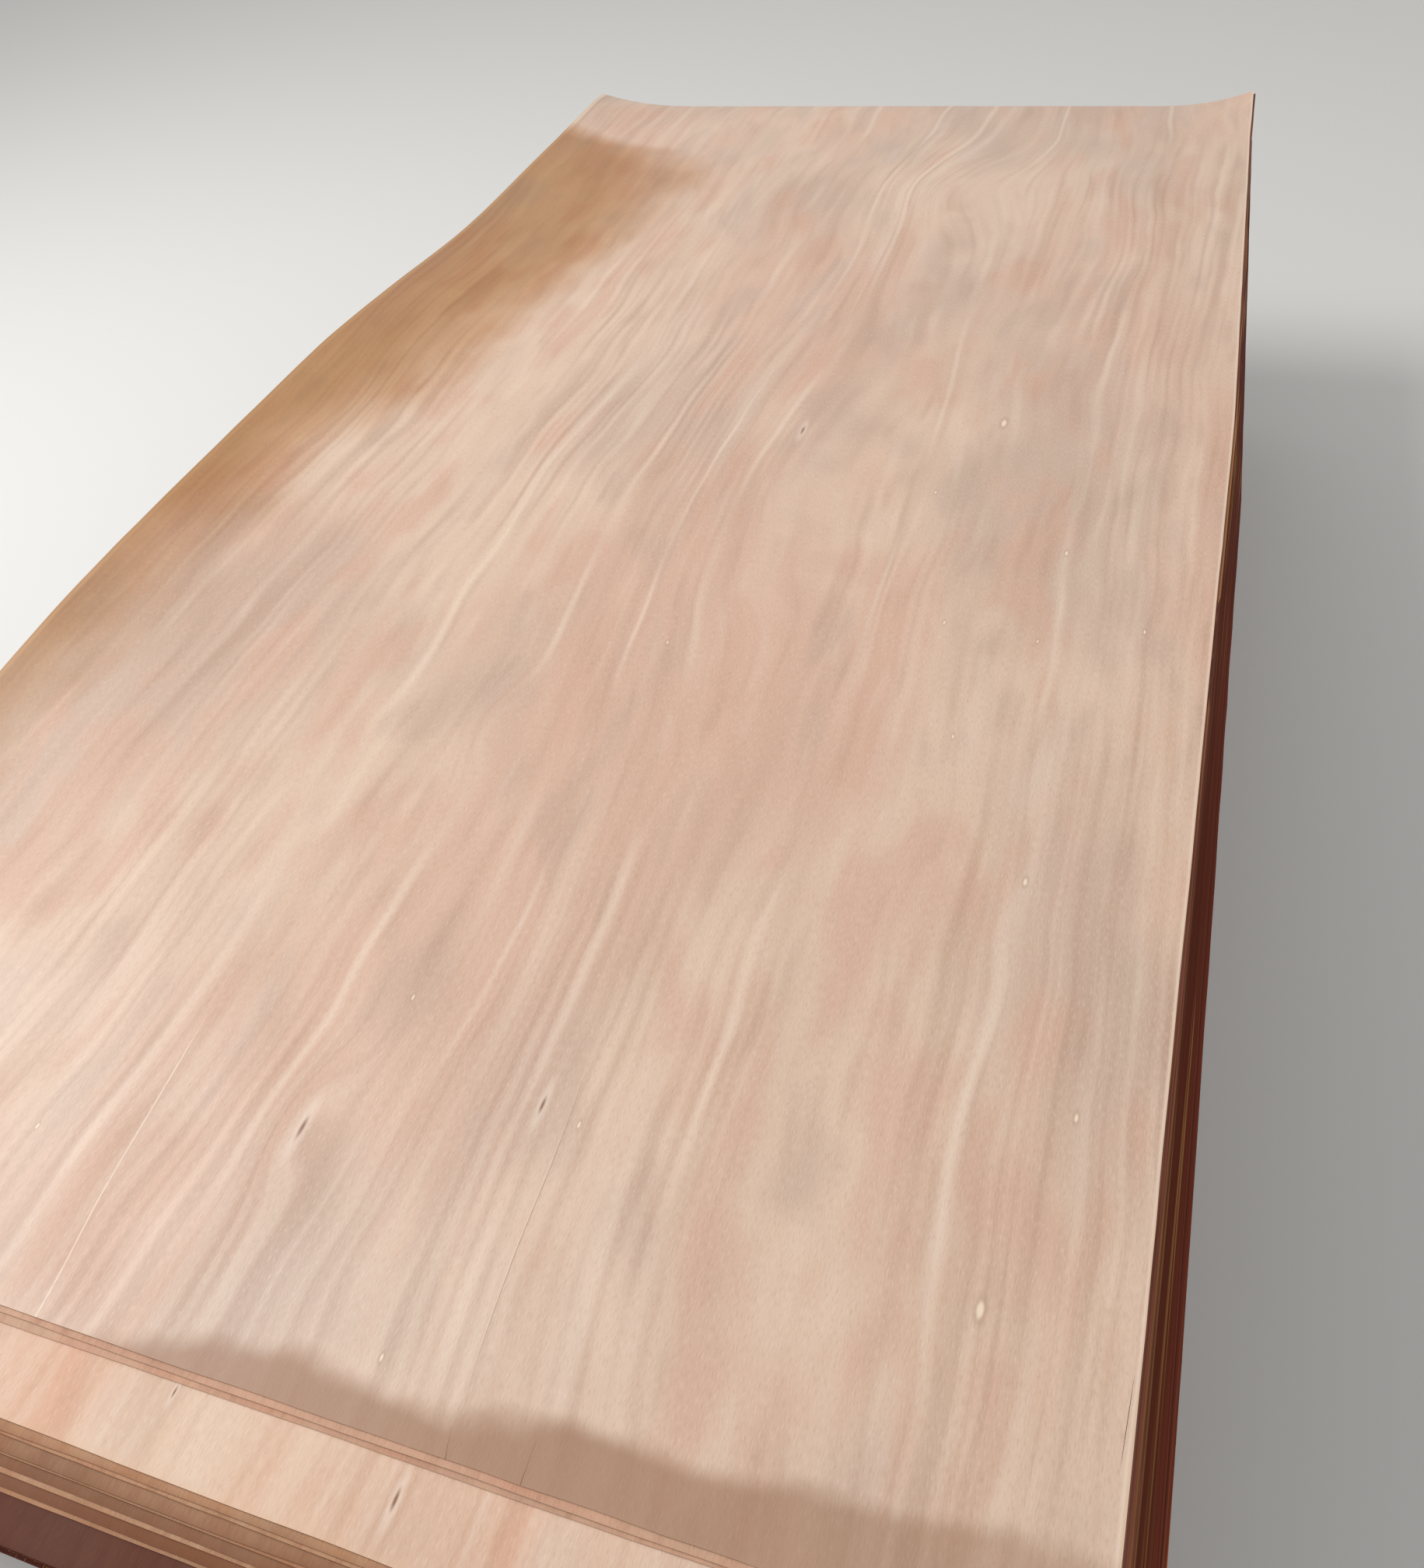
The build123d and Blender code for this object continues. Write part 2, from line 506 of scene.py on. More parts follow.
    def ring_place(self, wood: WoodColour) -> bpy.types.Node:
        """Adds the place of a point among the growth rings, which wander across the sheet.

        Args:
            wood: The colour under way.

        Returns:
            The node of its distance from the left edge, after the wandering and the swirls.
        """
        ring = wood.across
        for grain, swing in self.wanders:
            wander = grain.drawn(wood.tree, wood.place)
            ring = add_node(
                wood.tree, "Math", {0: wander, 1: swing, 2: ring}, operation="MULTIPLY_ADD"
            )
        for swirl in self.swirls:
            wide, long = 1 / swirl.half_width, 1 / swirl.half_length
            middle = (-swirl.across * wide, -swirl.along * long, 0.0)
            offset = add_node(
                wood.tree,
                "VectorMath",
                {0: wood.place, 1: (wide, long, 0.0), 2: middle},
                operation="MULTIPLY_ADD",
            )
            inner = add_node(
                wood.tree, "VectorMath", {0: offset, 1: offset}, operation="DOT_PRODUCT"
            )
            bulge = add_node(
                wood.tree, "Math", {0: math.exp(-1), 1: inner.outputs["Value"]}, operation="POWER"
            )
            ring = add_node(
                wood.tree, "Math", {0: bulge, 1: swirl.push, 2: ring}, operation="MULTIPLY_ADD"
            )
        return ring

    def lay_streaks(self, wood: WoodColour, ringed: bpy.types.Node) -> None:
        """Lays on the figure, each part of it darker and paler than the ground.

        Args:
            wood: The colour under way.
            ringed: The place among the growth rings.
        """
        lined = self.lined_places.drawn(wood.tree, ringed)
        low, high = self.lined_levels
        lined = add_node(
            wood.tree, "MapRange", {"Value": lined, 1: low, 2: high, 3: self.least_lined, 4: 1.0}
        )
        for streaks in self.streaks:
            figure = streaks.grain.drawn(wood.tree, ringed)
            mask = lined if streaks.patchy else 1.0
            wood.lay(self.dark_streak, figure, Shade(*self.dark_levels, streaks.dark), mask)
            wood.lay(self.pale_streak, figure, Shade(*self.pale_levels, streaks.pale), mask)

    def lay_lines(self, wood: WoodColour, ring: bpy.types.Node) -> None:
        """Lays on the long pale lines, which follow single growth rings, and the scratches.

        Args:
            wood: The colour under way.
            ring: The place among the growth rings, across the sheet.
        """
        fading = self.fading.drawn(wood.tree, wood.place)
        low, high = self.fade_levels
        fading = add_node(wood.tree, "MapRange", {"Value": fading, 1: low, 2: high})
        for at, half_width in self.pale_lines:
            shade = Shade(half_width, 0.0, self.pale_line_strength)
            wood.lay(self.pale_streak, wood.beside(ring, at), shade, fading)
        for at, slope, end in self.scratches:
            straight = add_node(
                wood.tree,
                "Math",
                {0: wood.along, 1: -slope, 2: wood.across},
                operation="MULTIPLY_ADD",
            )
            short = add_node(
                wood.tree, "MapRange", {"Value": wood.along, 1: end, 2: end - self.scratch_fade}
            )
            wood.lay(self.halo, wood.beside(straight, at), self.scratch_shade, short)

    def lay_wear_and_shade(self, wood: WoodColour) -> None:
        """Lays on the rim, partly dried wood and partly painted light and shade, the sheet's own
        tone, and painted shade along its sides.

        Args:
            wood: The colour under way.
        """
        rim = add_node(wood.tree, "Attribute", attribute_name="rim").outputs["Fac"]
        tone = add_node(wood.tree, "Attribute", attribute_name="tone").outputs["Fac"]
        # The rim tone: on the loose sheets partly dried wood and partly painted shade, on the top
        # sheet a painted highlight.
        wood.lay(self.rim, rim, self.rim_spread)
        wood.lay(self.aged, tone, self.darkened)
        # Painted shade along the sides, where each sheet lies in the shadow of the one above, with
        # paler lines in it.
        low, high = self.side_levels
        at_side = add_node(wood.tree, "MapRange", {"Value": rim, 1: low, 2: high})
        wood.lay(self.side_shade, at_side, self.rim_spread)
        clean = self.pale_side_lines.drawn(wood.tree, wood.place)
        wood.lay(self.side_line, clean, self.pale_side_line, at_side)

    def lay_stains_and_shade(self, wood: WoodColour) -> None:
        """Lays on the ochre stain along the left edge, partly painted shade, and the painted shade
        at the front end.

        Args:
            wood: The colour under way.
        """
        # The ochre stain, partly real stain and partly painted shade where the left edge curls up.
        inside = self.ochre_stain_and_shade.inside(
            wood.tree, wood.place, wood.along, self.sheet.length, wood.across
        )
        wood.lay(self.ochre, inside, self.ochre_border, blend=Blend.TINT)
        wood.lay(self.ochre_deep, inside, self.ochre_middle, blend=Blend.TINT)
        # Painted shade at the front end, weaker towards the right edge.
        inside = self.front_shade_patch.inside(
            wood.tree, wood.place, wood.across, self.sheet.width, wood.along
        )
        near, far = self.front_shade_fade
        weaker = add_node(
            wood.tree,
            "MapRange",
            {"Value": wood.across, 1: near, 2: far, 3: 1.0, 4: self.least_front_shade},
        )
        wood.lay(self.front_shade, inside, self.front_shade_border, weaker)

    def lay_spots(self, wood: WoodColour) -> None:
        """Lays on the pale pin knots with their brown rings, and the dark specks.

        Args:
            wood: The colour under way.
        """
        if self.pin_knots:
            near = self.nearest(wood, self.pin_knots, self.pin_slenderness)
            wood.lay(self.knot_ring, near, self.pin_ring)
            wood.lay(self.knot_heart, near, self.pin_heart)
        if self.specks:
            near = self.nearest(wood, self.specks, self.speck_slenderness)
            wood.lay(self.halo, near, self.speck_ring)
            wood.lay(self.speck_heart, near, self.speck_middle)

    def material(self, origin: Vector) -> bpy.types.Material:
        """Makes the finish.

        Args:
            origin: The front left corner of the sheet that it is measured from.

        Returns:
            The material.
        """
        made = blank_material(self.name)
        tree = made.node_tree
        spot = add_node(tree, "TexCoord")
        local = add_node(
            tree,
            "VectorMath",
            {0: spot.outputs["Object"], 1: (origin.x, origin.y, 0.0)},
            operation="SUBTRACT",
        )
        parts = add_node(tree, "SeparateXYZ", {0: local})
        across, along = parts.outputs[0], parts.outputs[1]
        sheet = add_node(tree, "Attribute", attribute_name="sheet").outputs["Fac"]
        place = add_node(tree, "CombineXYZ", {0: across, 1: along, 2: sheet})
        wood = WoodColour(tree, place, across, along, srgb(self.ground))
        ring = self.ring_place(wood)
        ringed = add_node(tree, "CombineXYZ", {0: ring, 1: along, 2: sheet})

        wood.lay(self.rose, self.rose_patches.drawn(tree, place), self.rose_patch)
        wood.lay(self.grey, self.grey_patches.drawn(tree, place), self.grey_patch)
        cloud = self.clouds.drawn(tree, ringed)
        wood.lay(self.rose, cloud, self.rose_cloud)
        wood.lay(self.grey, cloud, self.grey_cloud)
        self.lay_streaks(wood, ringed)
        self.lay_lines(wood, ring)
        pore = self.pores.drawn(tree, place)
        wood.lay(self.dark_streak, pore, self.dark_pore)
        wood.lay(self.pale_streak, pore, self.pale_pore)
        self.lay_wear_and_shade(wood)
        if self.stained_and_shaded:
            self.lay_stains_and_shade(wood)
        self.lay_spots(wood)

        bump = add_node(
            tree, "Bump", {"Strength": self.relief, "Distance": self.pore_depth, "Height": pore}
        )
        low, high = self.gloss_levels
        smooth, rough = self.roughness - self.smoother, self.roughness + self.rougher
        gloss = add_node(
            tree, "MapRange", {"Value": cloud, 1: low, 2: high, 3: smooth, 4: rough}
        )
        veneer = add_node(
            tree,
            "BsdfPrincipled",
            {
                "Base Color": wood.colour,
                "Roughness": gloss,
                "IOR": self.ior,
                "Specular IOR Level": self.shine,
                "Normal": bump,
            },
        )
        add_node(tree, "OutputMaterial", {"Surface": veneer})
        return made


@dataclass(frozen=True)
class CutEdge:
    """The clipped edge of hardwood veneer, redder and darker than its face.

    Light goes into the cut fibres and little comes out again, so the edge is dull; its darker tones
    also stand for painted shade in the gaps between the leaves. Each leaf has its own tone, and so
    a pile of them is finely striped.
    """

    name: str = "clipped_veneer_edge"
    deep: str = "#3c1d13"
    middle: str = "#74412b"
    light: str = "#b17a57"
    roughness: float = 0.82
    ior: float = 1.45

    # A bundle of fibres along the edge: its length and height in millimetres, how much it
    # changes the leaf's tone, and how deep it is cut.
    fibre_length: float = 111.11
    fibre_height: float = 1.4286
    fibre_tone: float = 0.5
    fibre_depth: float = 0.4 * MM
    fibre_detail: float = 4.0
    relief: float = 0.5

    def material(self) -> bpy.types.Material:
        """Makes the finish, whose colour follows each leaf's own tone.

        Returns:
            The material.
        """
        made = blank_material(self.name)
        tree = made.node_tree
        spot = add_node(tree, "TexCoord")
        tone = add_node(tree, "Attribute", attribute_name="tone")
        along, upwards = 1 / (self.fibre_length * MM), 1 / (self.fibre_height * MM)
        drawn = add_node(
            tree,
            "VectorMath",
            {0: spot.outputs["Object"], 1: (along, along, upwards)},
            operation="MULTIPLY",
        )
        fibre = add_node(
            tree, "TexNoise", {"Vector": drawn, "Scale": 1.0, "Detail": self.fibre_detail}
        )
        worn = add_node(
            tree,
            "Math",
            {0: fibre, 1: self.fibre_tone, 2: tone.outputs["Fac"]},
            operation="MULTIPLY_ADD",
        )
        level = add_node(tree, "Math", {0: worn, 1: self.fibre_tone / 2}, operation="SUBTRACT")
        ramp = add_node(tree, "ValToRGB", {0: level})
        stops = ramp.color_ramp.elements
        stops[0].position, stops[0].color = 0.0, srgb(self.deep)
        stops[1].position, stops[1].color = 1.0, srgb(self.light)
        stops.new(0.5).color = srgb(self.middle)
        bump = add_node(
            tree,
            "Bump",
            {"Strength": self.relief, "Distance": self.fibre_depth, "Height": fibre},
        )
        veneer = add_node(
            tree,
            "BsdfPrincipled",
            {"Base Color": ramp, "Roughness": self.roughness, "IOR": self.ior, "Normal": bump},
        )
        add_node(tree, "OutputMaterial", {"Surface": veneer})
        return made


@dataclass(frozen=True)
class MattPaint:
    """Flat pale studio paint, which shows the stack's shadow and no gloss."""

    name: str = "pale_matt_floor_paint"
    colour: str = "#dddcd9"
    roughness: float = 0.9

    def material(self) -> bpy.types.Material:
        """Makes the finish.

        Returns:
            The material.
        """
        made = blank_material(self.name)
        tree = made.node_tree
        paint = add_node(
            tree, "BsdfPrincipled", {"Base Color": srgb(self.colour), "Roughness": self.roughness}
        )
        add_node(tree, "OutputMaterial", {"Surface": paint})
        return made


@dataclass(frozen=True)
class Buckle:
    """One wave of a dried leaf's buckles: its waves to a metre, its seed and its strength."""

    across: float
    along: float
    seed: float
    strength: float


@dataclass
class PileShape:
    """The height of the loose leaves: their seat, the air between them, and their curls."""

    outline: Outline = Outline()
    stack_top: float = 0.560
    flat_count: int = 5
    flat_gap: float = 0.0002
    curled_count: int = 8
    corner: Vector = field(default_factory=lambda: Vector((0.642, -1.115)))
    loose_gap: float = 0.0005
    spring_gap: float = 0.0006
    front_ease: float = 0.130
    rear_ease: float = 0.470

    # The curls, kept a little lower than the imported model's to leave room for the buckles.
    crest_height: float = 0.0437
    crest_place: float = 1.080
    crest_spread: float = 0.620
    crest_flatness: int = 4
    crest_reach: float = 0.420
    rear_left_lift: float = 0.0317
    rear_left_start: float = 1.500
    rear_left_reach: float = 0.230
    rear_left_bend: float = 1.2
    curl_power: float = 2.5
    rear_right_lift: float = 0.026
    rear_right_reach: float = 0.170
    rear_right_length: float = 0.300
    rear_droop: float = 0.006
    overhang: float = 0.065

    # The buckles, and how far in from the front, the rear and the left edge they grow.
    swell_height: float = 0.0040
    swell_level: float = 0.5
    swell_front: float = 0.11
    swell_rear: float = 0.5
    swell_left: float = 0.25
    buckles: tuple[Buckle, ...] = (
        Buckle(3.1, 1.9, 4.2, 0.6),
        Buckle(6.5, 3.4, 9.7, 0.3),
        Buckle(12.0, 8.0, 2.9, 0.6),
    )

    def front_left(self) -> Vector:
        """Gives the place of the top leaf's front left corner."""
        return Vector((self.corner.x - self.outline.width, self.corner.y))

    def curl(self, distance: float, reach: float) -> float:
        """Gives the shape of a dried edge's lift: 1 at the edge, and 0 from reach inwards."""
        return max(1 - distance / reach, 0.0) ** self.curl_power

    def lift(self, across: float, along: float) -> float:
        """Gives the curl of the top leaf.

        Args:
            across: The distance from its left edge.
            along: The distance from its front end.

        Returns:
            How high it is lifted there.
        """
        away = (along - self.crest_place) / self.crest_spread
        crest = self.crest_height * math.exp(-(away**self.crest_flatness))
        run = self.outline.length - self.rear_left_start
        rear = max((along - self.rear_left_start) / run, 0.0)
        reach = self.crest_reach + (self.rear_left_reach - self.crest_reach) * min(rear, 1.0)
        left = (crest + self.rear_left_lift * rear**self.rear_left_bend) * self.curl(across, reach)
        from_right = self.outline.width - self.outline.taper_in - across
        corner = self.curl(from_right, self.rear_right_reach)
        corner *= self.curl(self.outline.length - along, self.rear_right_length)
        return left + self.rear_right_lift * corner

    def swell(self, across: float, along: float) -> float:
        """Gives the gentle buckles of a dried leaf, away from its edges.

        Args:
            across: The distance from its left edge.
            along: The distance from its front end.

        Returns:
            The height of the buckles there.
        """
        height = self.swell_level
        for buckle in self.buckles:
            wave = Vector((across * buckle.across, along * buckle.along, buckle.seed))
            height += buckle.strength * noise.noise(wave)
        room = smooth_step(along / self.swell_front)
        room *= smooth_step((self.outline.length - along) / self.swell_rear)
        room *= smooth_step(across / self.swell_left)
        return self.swell_height * max(height, 0.0) * room

    def height(self, x: float, y: float, level: int, share: float) -> float:
        """Gives the underside of a loose leaf.

        Args:
            x: The place in the model's frame.
            y: The place in the model's frame.
            level: The leaf's number among the curled ones, from 1, or 0 and below for flat ones.
            share: Its share of the top leaf's curl.

        Returns:
            The height above the floor.
        """
        thickness = self.outline.thickness
        base = self.stack_top + self.flat_count * (thickness + self.flat_gap)
        if level <= 0:
            return base - thickness + level * (thickness + self.flat_gap)
        across = x - self.corner.x + self.outline.width
        along = y - self.corner.y
        end = self.outline.length - self.overhang
        rise = smooth_step(along / self.front_ease)
        fall = smooth_step((end - along) / self.rear_ease)
        seat = base + self.loose_gap + (level - 1) * (thickness + self.loose_gap)
        spring = level * self.spring_gap * rise * fall
        droop = self.rear_droop * max((along - end) / self.overhang, 0.0) ** 2
        swell = level / self.curled_count * self.swell(across, along)
        return seat + spring + share * self.lift(across, along) - droop + swell


@dataclass(frozen=True)
class Split:
    """A split along the grain, as places from the leaf's front left corner.

    The column is the number of the grid's extra line that follows the split, and the pale value is
    the strength of the painted highlight on its lifted left lip.
    """

    column: int
    path: tuple[tuple[float, float], ...]
    opening: float
    left_lip: float = 0.0
    right_lip: float = 0.0
    pale: float = 0.0
    bluntness: float = 0.6

    def across_at(self, along: float) -> float:
        """Follows the split's path.

        Args:
            along: The distance from the front end.

        Returns:
            The split's distance from the left edge there.
        """
        before, after = self.path[0], self.path[-1]
        for here, there in zip(self.path, self.path[1:]):
            if here[0] <= along <= there[0]:
                before, after = here, there
        run = (along - before[0]) / (after[0] - before[0])
        return before[1] + (after[1] - before[1]) * min(max(run, 0.0), 1.0)

    def covers(self, along: float) -> bool:
        """Tells whether the split runs there, at a distance from the front end."""
        return self.path[0][0] - TINY <= along <= self.path[-1][0] + TINY

    def openness(self, along: float) -> float:
        """Tells how far open the split is. An end split is widest at the leaf's end.

        Args:
            along: The distance from the front end.

        Returns:
            From 0 where it is closed to 1 where it is widest.
        """
        start, end = self.path[0][0], self.path[-1][0]
        share = (along - start) / (end - start)
        if start <= 0:
            return 1 - share
        return math.sin(math.pi * min(max(share, 0.0), 1.0)) ** self.bluntness


@dataclass(frozen=True)
class Chip:
    """A strip that broke out of a leaf's right edge, at distances from the front end."""

    start: float
    end: float
    depth: float
    ripple: float = 0.25
    ripple_waves: float = 190.0

    def depth_at(self, along: float) -> float:
        """Gives the depth of the rippled break."""
        return self.depth * (1 - self.ripple + self.ripple * math.sin(along * self.ripple_waves))


@dataclass(frozen=True)
class Wear:
    """How an edge is worn back: the depth, the waves along it, and the noise's seed."""

    depth: float
    waves: float
    seed: float

    def wave(self, run: float, side: float, level: int) -> float:
        """Gives the noise at a place along one of a leaf's sides."""
        return noise.noise(Vector((run * self.waves, side, level * self.seed)))


@dataclass
class Grid:
    """The lines of a leaf's grid, and where in them each vertex lies."""

    columns: list[float]
    rows: list[float]
    places: list[tuple[int, int]]
    keys: bmesh.types.BMLayerItem

    def at(self, vertex: bmesh.types.BMVert) -> tuple[int, int]:
        """Gives the column and the row of a vertex."""
        return self.places[vertex[self.keys]]


def assign_finishes(mesh: bmesh.types.BMesh) -> None:
    """Gives the flat-lying faces the peeled finish, and the steep ones the cut edge's.

    Args:
        mesh: The mesh, with its faces pointing outwards.
    """
    mesh.normal_update()
    for face in mesh.faces:
        lies_flat = abs(face.normal.z) > FLAT_ENOUGH
        face.material_index = (Side.FACE if lies_flat else Side.EDGE).value


def thicken(
    mesh: bmesh.types.BMesh, faces: list[bmesh.types.BMFace], thickness: float
) -> None:
    """Gives a flat sheet its thickness, upwards.

    Args:
        mesh: The sheet's mesh.
        faces: The sheet's faces.
        thickness: The distance between its two faces.
    """
    grown = bmesh.ops.extrude_face_region(mesh, geom=faces)
    upper = [part for part in grown["geom"] if isinstance(part, bmesh.types.BMVert)]
    bmesh.ops.translate(mesh, verts=upper, vec=(0, 0, thickness))


def to_object(mesh: bmesh.types.BMesh, name: str) -> bpy.types.Object:
    """Turns a finished bmesh into an object at the origin.

    Args:
        mesh: The mesh, which is freed.
        name: The piece's name.

    Returns:
        The new object, linked to the scene.
    """
    data = bpy.data.meshes.new(name)
    mesh.to_mesh(data)
    mesh.free()
    made = bpy.data.objects.new(name, data)
    bpy.context.scene.collection.objects.link(made)
    return made


def dress(
    piece: bpy.types.Object,
    node: str,
    faces: bpy.types.Material,
    edges: bpy.types.Material,
) -> None:
    """Gives a piece its two finishes, its body, and the node that it stands for.

    Args:
        piece: The new piece.
        node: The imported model's node.
        faces: The finish of its peeled faces.
        edges: The finish of its cut edges.
    """
    piece.data.materials.append(faces)
    piece.data.materials.append(edges)
    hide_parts(node)
    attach(piece, "root")
    LOG.info("%s stands for %s with %d faces", piece.name, node, len(piece.data.polygons))


@dataclass
class LooseLeaf:
    """One of the loose leaves on top of the stack, as a thin sheet with its own splits.

    The tone goes from 0 for an old dark sheet to 1. The figure step moves each sheet to
    another part of the figure's noise.
    """

    name: str
    level: int
    front_reach: float
    right_reach: float
    turn: float
    share: float
    tone: float
    shape: PileShape
    column_step: float = 0.030
    row_step: float = 0.030
    clearance: float = 0.35
    extra_columns: tuple[float, ...] = ()
    extra_rows: tuple[float, ...] = ()
    splits: tuple[Split, ...] = ()
    chip: Chip | None = None
    front_slant: float = 0.0
    bend_reach: float = 0.05
    lip_reach: float = 0.016
    lip_highlight_reach: float = 0.004
    rim_depth: float = 0.010
    end_rim: float = 0.45
    figure_step: float = 3.7
    side_wear: Wear = Wear(0.9 * MM, 9.0, 3.3)
    end_wear: Wear = Wear(1.0 * MM, 14.0, 5.1)
    end_bow: Wear = Wear(2.2 * MM, 2.3, 2.7)
    bow_level: float = 0.5
    sides_apart: float = 7.0

    def stations(self, length: float, step: float, extra: tuple[float, ...]) -> list[float]:
        """Places the grid's lines: even ones, except near the extra ones, which are kept.

        Args:
            length: How far the lines run, from 0.
            step: The distance between even lines.
            extra: The lines that have to be there.

        Returns:
            The sorted distances.
        """
        count = round(length / step)
        even = [length * number / count for number in range(count + 1)]
        room = step * self.clearance
        kept = [
            line
            for line in even
            if line in (even[0], even[-1]) or all(abs(line - other) > room for other in extra)
        ]
        return sorted(set(kept) | set(extra))

    def on_floor(self, across: float, along: float) -> Vector:
        """Turns a place on the leaf into a place in the model's frame.

        Args:
            across: The distance from the leaf's left edge.
            along: The distance from its front end.

        Returns:
            The place, at no height.
        """
        corner = self.shape.corner + Vector((self.right_reach, -self.front_reach))
        turned = Matrix.Rotation(math.radians(self.turn), 2)
        return corner + turned @ Vector((across - self.shape.outline.width, along))

    def worn(self, share: float, along: float) -> tuple[float, float]:
        """Tells how far a point at an edge is worn back, inwards only.

        Args:
            share: The share of the width, 0 or 1 at the long edges.
            along: The distance from the front end.

        Returns:
            How far it is moved across and along the leaf.
        """
        inwards = onwards = 0.0
        if share in (0.0, 1.0):
            side = share * self.sides_apart
            inwards = self.side_wear.depth * abs(self.side_wear.wave(along, side, self.level))
            if share == 1.0 and self.chip and self.chip.start <= along <= self.chip.end:
                inwards += self.chip.depth_at(along)
        if along in (0.0, self.shape.outline.length):
            rough = abs(self.end_wear.wave(share, along, self.level))
            bowed = self.bow_level + self.end_bow.wave(share, along, self.level)
            onwards = self.end_wear.depth * rough + self.end_bow.depth * max(bowed, 0.0)
            if along == 0.0:
                onwards += self.front_slant * share
        return (
            inwards if share == 0.0 else -inwards,
            onwards if along == 0.0 else -onwards,
        )

    def bent_columns(self, columns: list[float], along: float) -> list[float]:
        """Bends the grid's inner lines at one row, so that they follow the splits.

        Args:
            columns: The distances of the straight lines.
            along: The row's distance from the front end.

        Returns:
            The distances of the bent lines.
        """
        bent = list(columns)
        for split in self.splits:
            at = self.extra_columns[split.column]
            if split.path[0][0] <= 0 and not split.covers(along):
                continue
            others = (o for o in self.splits if o is not split and o.column == split.column)
            if any(other.covers(along) for other in others):
                continue
            moved = split.across_at(along) - at
            for number, column in enumerate(columns[1:-1], 1):
                bent[number] += moved * max(1 - abs(column - at) / self.bend_reach, 0.0)
        return bent

    def lay_grid(self, mesh: bmesh.types.BMesh) -> Grid:
        """Lays out the leaf's flat grid.

        Args:
            mesh: The leaf's empty mesh.

        Returns:
            The grid's lines and places.
        """
        outline = self.shape.outline
        rims = (self.rim_depth, outline.width - self.rim_depth)
        columns = self.stations(outline.width, self.column_step, self.extra_columns + rims)
        rims = (self.rim_depth, outline.length - self.rim_depth)
        rows = self.stations(outline.length, self.row_step, self.extra_rows + rims)
        across_count, along_count = len(columns) - 1, len(rows) - 1
        bmesh.ops.create_grid(mesh, x_segments=across_count, y_segments=along_count, size=0.5)
        keys = mesh.verts.layers.int.new("key")
        places = []
        for number, vertex in enumerate(mesh.verts):
            vertex[keys] = number
            column = round((vertex.co.x + 0.5) * across_count)
            places.append((column, round((vertex.co.y + 0.5) * along_count)))
        return Grid(columns, rows, places, keys)

    def open_splits(self, mesh: bmesh.types.BMesh, grid: Grid) -> None:
        """Cuts the grid's edges along each split, so that its two lips come apart.

        Args:
            mesh: The leaf's mesh.
            grid: The leaf's grid.
        """
        cut = []
        for split in self.splits:
            at = grid.columns.index(self.extra_columns[split.column])
            for edge in mesh.edges:
                ends = [grid.at(vertex) for vertex in edge.verts]
                if all(end[0] == at and split.covers(grid.rows[end[1]]) for end in ends):
                    cut.append(edge)
        if cut:
            bmesh.ops.split_edges(mesh, edges=cut)

    def lips(
        self, vertex: bmesh.types.BMVert, grid: Grid, bent: list[float]
    ) -> tuple[float, float, float]:
        """Tells how far a point is moved by the splits, and how strong the painted highlight on a
        lifted lip is there.

        Args:
            vertex: The grid's vertex.
            grid: The leaf's grid.
            bent: The lines across at this row.

        Returns:
            The distance aside, the distance up, and the painted highlight's strength.
        """
        column, row = grid.at(vertex)
        along, aside, lip, pale = grid.rows[row], 0.0, 0.0, 0.0
        for split in self.splits:
            if not split.covers(along):
                continue
            at = grid.columns.index(self.extra_columns[split.column])
            openness = split.openness(along)
            is_lip = column == at and openness > TINY
            beside = [grid.at(other)[0] for edge in vertex.link_edges for other in edge.verts]
            middle = sum(beside) / max(len(beside), 1)
            left = column < at or (is_lip and middle < at)
            if is_lip:
                aside += (-1 if left else 1) * split.opening / 2 * openness
            away = abs(bent[column] - bent[at])
            height = split.left_lip if left else split.right_lip
            lip += height * openness * max(1 - away / self.lip_reach, 0.0) ** 2
            # The lifted left lip gets a painted highlight.
            if left:
                pale += split.pale * openness * max(1 - away / self.lip_highlight_reach, 0.0)
        return aside, lip, pale

    def build(self) -> bpy.types.Object:
        """Makes the leaf: a bent grid, opened at its splits, then given its thickness.

        Returns:
            The piece.
        """
        outline = self.shape.outline
        mesh = bmesh.new()
        grid = self.lay_grid(mesh)
        sheet = mesh.verts.layers.float.new("sheet")
        tone = mesh.verts.layers.float.new("tone")
        rim = mesh.verts.layers.float.new("rim")
        self.open_splits(mesh, grid)
        last_column, last_row = len(grid.columns) - 1, len(grid.rows) - 1
        for vertex in mesh.verts:
            column, row = grid.at(vertex)
            along = grid.rows[row]
            bent = self.bent_columns(grid.columns, along)
            aside, lip, pale = self.lips(vertex, grid, bent)
            inwards, onwards = self.worn(grid.columns[column] / outline.width, along)
            across = outline.across(bent[column] / outline.width, along)
            place = self.on_floor(across + aside + inwards, along + onwards)
            z = self.shape.height(place.x, place.y, self.level, self.share) + lip
            vertex.co = (place.x, place.y, z)
            vertex[sheet] = (self.shape.curled_count - self.level) * self.figure_step
            vertex[tone] = self.tone
            at_end = row in (0, last_row)
            at_side = column in (0, last_column)
            # The rim is 1 at the sides and end_rim at the ends; inside, it carries the painted
            # highlight on a split's lifted lip.
            vertex[rim] = 1.0 if at_side else self.end_rim if at_end else pale
        thicken(mesh, list(mesh.faces), outline.thickness)
        bmesh.ops.recalc_face_normals(mesh, faces=mesh.faces)
        mesh.verts.layers.int.remove(mesh.verts.layers.int["key"])
        assign_finishes(mesh)
        for face in mesh.faces:
            face.smooth = face.material_index == Side.FACE.value
        for edge in mesh.edges:
            edge.smooth = all(face.smooth for face in edge.link_faces)
        return to_object(mesh, self.name)

